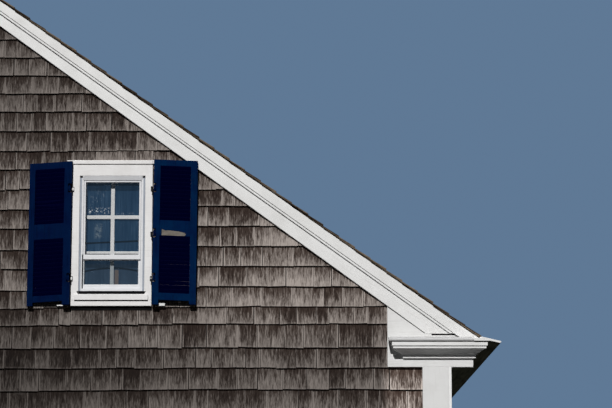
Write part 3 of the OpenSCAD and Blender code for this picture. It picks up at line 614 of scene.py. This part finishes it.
def shingle(heap, at, rng, x0, x1, z0, z1, top):
    w = x1 - x0
    if top((x0 + x1) / 2) < z0 - w:
        return
    cols = 3 if w > 0.07 else 2
    tone = rng.betavariate(2.2, 2.2)
    cup = rng.uniform(-0.0012, 0.0012)
    lean = rng.uniform(-0.0010, 0.0010)
    drop = rng.gauss(0, 0.0012) + (rng.uniform(-0.005, 0.006) if rng.random() < 0.14 else 0)
    slope = rng.gauss(0, 0.0012)
    thick = BUTT - rng.uniform(0.0, 0.0022)
    height = z1 - z0
    full = 0.139
    verts, v_at, kinds, sides = [], [], [], []
    xs = [x0 + w * j / cols for j in range(cols + 1)]
    tops = [min(z1 + 0.013, top(x) + 0.045) for x in xs]
    bots = [z0 + drop + slope * (2 * j / cols - 1) + rng.uniform(-0.0006, 0.0006) for j in range(cols + 1)]
    deep = [-(thick + cup * (1 - (2 * j / cols - 1) ** 2) + lean * (2 * j / cols - 1)) for j in range(cols + 1)]
    rows = (0.0, 0.12, 1.0)
    for r in rows:
        for j, x in enumerate(xs):
            b, t = bots[j], max(tops[j], bots[j])
            z = b + (t - b) * r
            share = (z - z0) / max(height, full)
            y = deep[j] + (BUTT - HEAD) * max(0.0, share) - (0.0004 if r == 0.12 else 0)
            verts.append((x, y, z))
            v_at.append(min(1.0, max(0.0, (z - b) / full)))
            kinds.append(0.0)
            sides.append(min(j, cols - j) * w / cols)
    faces = []
    n = cols + 1
    for r in range(2):
        for j in range(cols):
            if tops[j] <= bots[j] and tops[j + 1] <= bots[j + 1]:
                continue
            a = r * n + j
            faces.append((a, a + 1, a + 1 + n, a + n))
    if not faces:
        return
    # the butt and the two edges; their kind darkens them with painted shade, the butt most at its back
    base = len(verts)
    for j, x in enumerate(xs):
        verts += [(x, deep[j], bots[j]), (x, deep[j] + 0.0125, bots[j])]
        v_at += [0.0, 0.0]
        kinds += [0.80, 1.0]
        sides += [0.05, 0.05]
    for j in range(cols):
        if tops[j] > bots[j] or tops[j + 1] > bots[j + 1]:
            a = base + 2 * j
            faces.append((a, a + 1, a + 3, a + 2))
    for j, flip in ((0, True), (cols, False)):
        if tops[j] <= bots[j]:
            continue
        a, b = verts[j], verts[2 * n + j]
        base = len(verts)
        verts += [a, b, (b[0], b[1] + 0.011, b[2]), (a[0], a[1] + 0.0125, a[2])]
        v_at += [0.0, 1.0, 1.0, 0.0]
        kinds += [0.8] * 4
        sides += [0.0] * 4
        q = (base, base + 1, base + 2, base + 3)
        faces.append(q if flip else q[::-1])
    heap.add([at(p) for p in verts], faces, v=v_at, tone=tone, kind=kinds, side=sides)


def window_rects(list_):
    # each hole reaches 23 mm below its window, where the painted shadow strip under the apron fills it
    return [(x - CASE - 0.002, x + CASE + 0.002, z - 0.023, z + WIN_H) for x, z in list_]


def gable_half(z):
    return 3.484 if z < EAVE - 0.01 else RET_X


front_ob = lay_wall("front_shingles", "front_wall_shingles", on_front, gable_half, rake_low, COURSES, window_rects(GABLE_WINDOWS), 11, 9.0, sunk)
lay_wall("back_shingles", "back_wall_shingles", on_back, gable_half, rake_low, COURSES, window_rects(GABLE_WINDOWS), 12, 9.0)
side_courses = [z for z in COURSES if z < 2.8]
lay_wall("right_shingles", "right_wall_shingles", on_right, lambda z: 2.880, lambda x: EAVE - 0.046, side_courses + [EAVE - 0.001],
         window_rects(SIDE_WINDOWS) + [(-0.532, 0.532, 0.0, 2.342)], 13, EAVE - 0.001)
lay_wall("left_shingles", "left_wall_shingles", on_left, lambda z: 2.880, lambda x: EAVE - 0.046, side_courses + [EAVE - 0.001],
         window_rects(SIDE_WINDOWS), 14, EAVE - 0.001)

# ---------------------------------------------------------------- roof shingles
ROOF_EXP = 0.134
EAVE_CUT = BOX_X + 0.045
ROOF_LEN = EAVE_CUT * math.sqrt(1 + M * M)
EDGE_Y = FACE + 0.020 + 0.010


def on_slope(s, h, y, side):
    x = s * C + h * M * C
    return (side * x, y, TOP0 - s * M * C + h * C)


def lay_roof(name, replaced, side, seed):
    rng, edge_rng = random.Random(seed), random.Random(seed + 50)
    heap = Heap()
    n = int(ROOF_LEN / ROOF_EXP)
    below = []
    for i in range(-1, n):
        starter = i == -1
        s_butt = ROOF_LEN - max(i, 0) * ROOF_EXP - (0.004 if starter else 0.0)
        joints = []
        y = -EDGE_Y + rng.uniform(0.0, 0.007)
        end = EDGE_Y
        while y < end - 0.012:
            for _ in range(6):
                w = rng.choice((0.09, 0.11, 0.13, 0.15, 0.18, 0.21)) * rng.uniform(0.9, 1.1)
                if all(abs(y + w - g) > 0.025 for g in below):
                    break
            y1 = y + w
            if end - y1 < 0.07:
                y1 = end - rng.uniform(0.0, 0.007)
            tone = rng.betavariate(2.0, 2.0)
            at_edge = y < -EDGE_Y + 0.02 or y1 > EDGE_Y - 0.02
            length = 0.385 if at_edge else ROOF_EXP + 0.03
            length = min(length, s_butt - 0.01)
            low = rng.gauss(0, 0.002)
            lift = rng.uniform(-0.0015, 0.0015)
            hb0, hb1 = (0.006, 0.0148) if starter else (0.0150, 0.0238)
            top_fall, low_fall = 0.0225 / 0.385, 0.0150 / 0.385
            if starter:
                top_fall, low_fall = 0.0142 / 0.385, 0.006 / 0.385
            vs, vv, kk = [], [], []
            s0 = s_butt + (low if i > 0 else -abs(low))
            stations = [0.0, min(ROOF_EXP, length), length] if at_edge else [0.0, length]
            for d in stations:
                for yy in (y, y1):
                    vs.append(on_slope(s0 - d, hb1 + lift - top_fall * d, yy, side))
                    vv.append(min(1, d / ROOF_EXP)); kk.append(0.0)
            m = len(stations)
            fs = []
            for q in range(m - 1):
                a = 2 * q
                fs.append((a, a + 1, a + 3, a + 2))
            b = len(vs)
            # butt, darker on its lower half: painted shade under it
            vs += [on_slope(s0, hb1 + lift, y, side), on_slope(s0, hb1 + lift, y1, side), on_slope(s0, hb0 + lift, y1, side), on_slope(s0, hb0 + lift, y, side)]
            vv += [0.02] * 4; kk += [0.35, 0.35, 0.9, 0.9]
            fs.append((b, b + 1, b + 2, b + 3))
            # the two edges, of random lightness, darker towards their lower side: painted shade under the overhang
            for yy in (y, y1):
                b = len(vs)
                vs += [on_slope(s0, hb1 + lift, yy, side), on_slope(s0 - length, hb1 + lift - top_fall * length, yy, side),
                       on_slope(s0 - length, max(0.0005, hb0 + lift - low_fall * length), yy, side), on_slope(s0, hb0 + lift, yy, side)]
                pale = edge_rng.random() < 0.62
                vv += [0.0, 0.2, 0.2, 0.0] if pale else [0.3, 0.9, 0.9, 0.3]
                kk += [0.0, 0.0, 0.62, 0.62] if pale else [0.5, 0.5, 0.95, 0.95]
                fs.append((b, b + 1, b + 2, b + 3))
            if side < 0:
                fs = [f[::-1] for f in fs]
            heap.add(vs, fs, v=vv, tone=tone, kind=kk, side=0.05)
            joints.append(y1)
            y = y1 + rng.choice((0.002, 0.004, 0.006))
        below = joints
    # the felt under the shingles
    heap.add([on_slope(0.02, 0.010, -EDGE_Y + 0.03, side), on_slope(0.02, 0.010, EDGE_Y - 0.03, side),
              on_slope(ROOF_LEN - 0.02, 0.010, EDGE_Y - 0.03, side), on_slope(ROOF_LEN - 0.02, 0.010, -EDGE_Y + 0.03, side)],
             [(0, 1, 2, 3)], v=0.9, tone=0.1, kind=1.0, side=0.05)
    ob = heap.make(name, MAT["roof_x"], slot="roof_shingle")
    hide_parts(replaced)
    return ob


lay_roof("right_roof_courses", "right_roof_shingles", 1, 21)
lay_roof("left_roof_courses", "left_roof_shingles", -1, 22)

# ---------------------------------------------------------------- slats in the fixed shutters
PIN_X, PIN_OUT = CASE + 0.016, 0.064


def wall_spots():
    for x, z in GABLE_WINDOWS[1:]:
        yield on_front, x, z
    for x, z in GABLE_WINDOWS:
        yield on_back, x, z
    for x, z in SIDE_WINDOWS:
        yield on_right, x, z
    for x, z in SIDE_WINDOWS:
        yield on_left, x, z


slats = Heap()
for at, wx, wz in wall_spots():
    for s in (1, -1):
        for z0, z1 in ((0.078, 0.470), (0.572, 0.962)):
            n = round((z1 - z0) / 0.028)
            step = (z1 - z0) / n
            half = step / 2 - 0.001
            for i in range(n):
                z = wz + 0.012 + z0 + step * (i + 0.5)
                prof = [(-0.0105, half - 0.003), (-0.0085, half), (0.0072, 0.003 - half), (0.0066, -half)]
                vs = []
                for x in (wx + s * (PIN_X + 0.0365), wx + s * (PIN_X + 0.2375)):
                    for dy, dz in prof:
                        vs.append(at((x, -PIN_OUT + 0.0055 + dy, z + dz)))
                fs = [(0, 1, 5, 4), (1, 2, 6, 5), (2, 3, 7, 6), (3, 0, 4, 7), (3, 2, 1, 0), (4, 5, 6, 7)]
                slats.add(vs, fs)
slats.make("fixed_shutter_slats", MAT["navy_slat"], slot="navy_paint")

# ---------------------------------------------------------------- small trim round the windows
def all_windows():
    yield on_front, WIN_X, WIN_Z
    yield from wall_spots()


gaps, seals = Heap(), Heap()
for at, wx, wz in all_windows():
    put = lambda q, at=at, wx=wx, wz=wz: at((wx + q[0], q[1], wz + q[2]))
    # painted shadow: a black strip under the apron, in the open joint and a gap left in the shingles below it, where
    # the apron's shadow falls
    gaps.box((-CASE, -0.0140, -0.0225), (CASE, -0.0015, 0.0033), put)
    # painted shadow: a black strip between the sill's nose and the apron, where the nose's shadow falls
    gaps.box((-0.2555, -0.0349, 0.0378), (0.2555, -0.0341, 0.0439), put)
    # painted shade: grey-blue strips between the storm frame and the casing, where the frame's recess lies in shade
    for s in (-1, 1):
        a, b = sorted((s * 0.2148, s * 0.2272))
        seals.box((a, -0.0249, 0.1090), (b, -0.0232, 0.9075), put)
# painted shade: a black strip in the open slot under the foot of the right rake
gaps.box((RET_X + 0.3065, 0, EAVE + 0.2192), (RET_X + 0.4755, 0.0280, EAVE + 0.2298), lambda q: (q[0], -HL - 0.0285 + q[1], q[2]))
# painted shadow: a black line between the rake's frieze and the return board, under the frieze's edge
joint_y, joint_a, joint_b = -FACE - 0.0006, RET_X + 0.002, RET_X + 0.257
gaps.add([(joint_a, joint_y, rake_low(joint_a) + 0.0005), (joint_a, joint_y, rake_low(joint_a) - 0.0078),
          (joint_b, joint_y, rake_low(joint_b) - 0.0050), (joint_b, joint_y, rake_low(joint_b) + 0.0005)], [(0, 1, 2, 3)])
gaps.make("painted_shadow_strips", MAT["black"], slot="black_iron")
seals.make("storm_seals", MAT["seal"], slot="storm_paint")

dabs = Heap()
for side, zs in ((-1, (0.188 + 0.011, 0.818 + 0.011)), (1, (0.189 + 0.012,))):
    for n_, z in enumerate(zs):
        size = (0.0072, 0.003, 0.0120) if side < 0 else (0.0045, 0.003, 0.0045)
        cx, cy, cz = WIN_X + side * (PIN_X - 0.0205), -HL - PIN_OUT + 0.0255, WIN_Z + z - 0.006
        vs, fs = [], []
        rings_, segs = 5, 8
        for i in range(rings_ + 1):
            t = math.pi * i / rings_
            for j in range(segs):
                a = 2 * math.pi * j / segs
                wob = 1 + 0.12 * math.sin(3 * a + 2 * n_ + side)
                vs.append((cx + size[0] * math.sin(t) * math.cos(a) * wob, cy + size[1] * math.sin(t) * math.sin(a), cz + size[2] * math.cos(t)))
        for i in range(rings_):
            for j in range(segs):
                a, b = i * segs + j, i * segs + (j + 1) % segs
                fs.append((a, b, b + segs, a + segs))
        dabs.add(vs, fs)
dabs.make("hinge_paint", MAT["cream"], slot="cream_paint", smooth=True)

# ---------------------------------------------------------------- materials on the CAD nodes
CAD = {
    "foundation": "stone", "ground_floor": "timber", "upper_floor": "timber",
    "front_wall": "timber", "back_wall": "timber", "right_wall": "timber", "left_wall": "timber",
    "right_roof_deck": "timber", "left_roof_deck": "timber", "ridge_boards": "roof_x",
    "corner_boards": "white_v", "side_corner_boards": "white_highlight_edge", "right_rake_frieze": "white_r", "right_rake_fascia": "white_r",
    "other_rake_boards": "white_l", "right_return_board": "white_board", "right_return_crown": "white_h",
    "right_return_cap": "white_cap", "other_cornice_returns": "white_h", "right_eave_soffit": "white_h",
    "right_eave_crown": "white_h", "right_eave_drip": "white_h", "left_eave_cornice": "white_h",
    "window_casing": "cream", "window_cap": "cream", "window_apron": "cream", "window_sill": "cream",
    "window_jambs": "sash", "storm_frame": "storm", "storm_panels": "storm", "storm_glass": "storm_pane",
    "window_sash": "sash", "sash_glass": "pane", "shutter_pintles": "iron", "storm_fittings": "black",
    "shutter_blocks": "white_h", "left_shutter_frame": "navy", "left_shutter_slats": "navy_slat",
    "left_shutter_eyes": "navy", "right_shutter_frame": "navy_right", "right_shutter_slats": "navy_slat",
    "right_shutter_eyes": "navy", "right_shutter_bare_wood": "bare", "other_window_casings": "cream", "other_window_sashes": "storm",
    "other_window_glass": "pane", "other_shutters": "navy", "side_door": "navy", "side_door_casing": "cream",
}
SOFT_EDGE = {
    "corner_boards": 0.0015, "side_corner_boards": 0.0025, "right_rake_frieze": 0.002, "right_rake_fascia": 0.0025, "other_rake_boards": 0.002,
    "right_return_board": 0.002, "right_return_cap": 0.003, "other_cornice_returns": 0.0015, "right_eave_drip": 0.002,
    "window_casing": 0.003, "window_cap": 0.003, "window_apron": 0.002, "window_sill": 0.003,
    "storm_frame": 0.002, "storm_panels": 0.0025, "window_sash": 0.003, "left_shutter_frame": 0.002,
    "right_shutter_frame": 0.002, "other_window_casings": 0.002, "side_door_casing": 0.003, "side_door": 0.004,
    "other_shutters": 0.002, "ridge_boards": 0.004, "foundation": 0.008, "right_shutter_bare_wood": 0.001,
    "left_shutter_slats": 0.0008, "right_shutter_slats": 0.0008,
}
for name, key in CAD.items():
    ob = nodes[name]
    ob.data.materials.clear()
    ob.data.materials.append(MAT[key])
    ob.data.polygons.foreach_set("material_index", [0] * len(ob.data.polygons))
    if name in SOFT_EDGE:
        w = ob.modifiers.new("weld", "WELD")
        w.merge_threshold = 0.00002
        b = ob.modifiers.new("edge", "BEVEL")
        b.width = SOFT_EDGE[name]
        b.segments = 2
        b.limit_method = "ANGLE"
        b.angle_limit = math.radians(40)
        b.use_clamp_overlap = True

# painted shade: the eaves' undersides and crowns, but not their front ends, are dark with a near-black copy of the
# white paint; their drip edges stay white, with painted shade on the drips' undersides
for name in ("right_eave_soffit", "right_eave_crown", "right_eave_drip", "left_eave_cornice"):
    me = nodes[name].data
    me.materials.append(MAT["shade"])
    for poly in me.polygons:
        end = abs(poly.normal.y) > 0.9
        drip = name.endswith("drip") or (name.startswith("left") and poly.center.z > EAVE + 0.155)
        poly.material_index = int(poly.normal.z < -0.3 if drip else not end)

# the other returns' sloping caps are weathered like the photographed one
me = nodes["other_cornice_returns"].data
me.materials.append(MAT["white_cap"])
for poly in me.polygons:
    poly.material_index = int(poly.normal.z > 0.5)

# the pintles' barrels are painted like the shutters, their plates on the casing are bare iron
me = nodes["shutter_pintles"].data
me.materials.append(MAT["navy"])
for poly in me.polygons:
    poly.material_index = int(poly.center.y < -HL - PIN_OUT + 0.017)

# ---------------------------------------------------------------- stage, light, camera
floor_me = bpy.data.meshes.new("floor")
floor_me.from_pydata([(-60, -60, 0), (60, -60, 0), (60, 60, 0), (-60, 60, 0)], [], [(0, 1, 2, 3)])
floor = bpy.data.objects.new("floor", floor_me)
bpy.context.scene.collection.objects.link(floor)
fm = Mat("pale_floor")
fm.set(Base_Color=(0.62, 0.62, 0.61), Roughness=0.9)
floor_me.materials.append(fm.m)
floor.visible_diffuse = False

world = bpy.data.worlds.new("studio")
bpy.context.scene.world = world
world.use_nodes = True
wt = world.node_tree
soft = wt.nodes["Background"]
soft.inputs["Color"].default_value = (0.86, 0.93, 1.0, 1)
soft.inputs["Strength"].default_value = 0.022
plain = wt.nodes.new("ShaderNodeBackground")
plain.inputs["Color"].default_value = (0.115, 0.19, 0.30, 1)
seen = wt.nodes.new("ShaderNodeLightPath")
either = wt.nodes.new("ShaderNodeMixShader")
wt.links.new(seen.outputs["Is Camera Ray"], either.inputs[0])
wt.links.new(soft.outputs[0], either.inputs[1])
wt.links.new(plain.outputs[0], either.inputs[2])
wt.links.new(either.outputs[0], wt.nodes["World Output"].inputs["Surface"])
bpy.context.scene.view_settings.view_transform = "Standard"


def sun(name, azimuth, elevation, strength, angle, color):
    """azimuth 0 stands in front of the gable, 90 to its right."""
    data = bpy.data.lights.new(name, "SUN")
    data.energy = strength
    data.angle = math.radians(angle)
    data.color = color
    ob = bpy.data.objects.new(name, data)
    a, e = math.radians(azimuth), math.radians(elevation)
    back = Vector((math.sin(a) * math.cos(e), -math.cos(a) * math.cos(e), math.sin(e)))
    ob.rotation_mode = "QUATERNION"
    ob.rotation_quaternion = back.to_track_quat("Z", "Y")
    bpy.context.scene.collection.objects.link(ob)


sun("key", -8, 38, 3.52, 0.8, (1.0, 0.993, 0.98))
sun("fill_back", 170, 42, 1.9, 30, (1.0, 0.99, 0.97))
sun("fill_right", 104, 46, 1.25, 20, (0.96, 0.98, 1.0))
sun("fill_left", -104, 46, 1.25, 20, (0.96, 0.98, 1.0))

cam_data = bpy.data.cameras.new("camera")
cam_data.sensor_width = 36
cam_data.lens = 2201 / 612 * 36
cam_data.clip_end = 200
cam = bpy.data.objects.new("camera", cam_data)
cam.location = (2.68, -HL - 15.2, 1.55)
cam.rotation_euler = (math.radians(90 + 9.26), 0, 0)
bpy.context.scene.collection.objects.link(cam)
bpy.context.scene.camera = cam
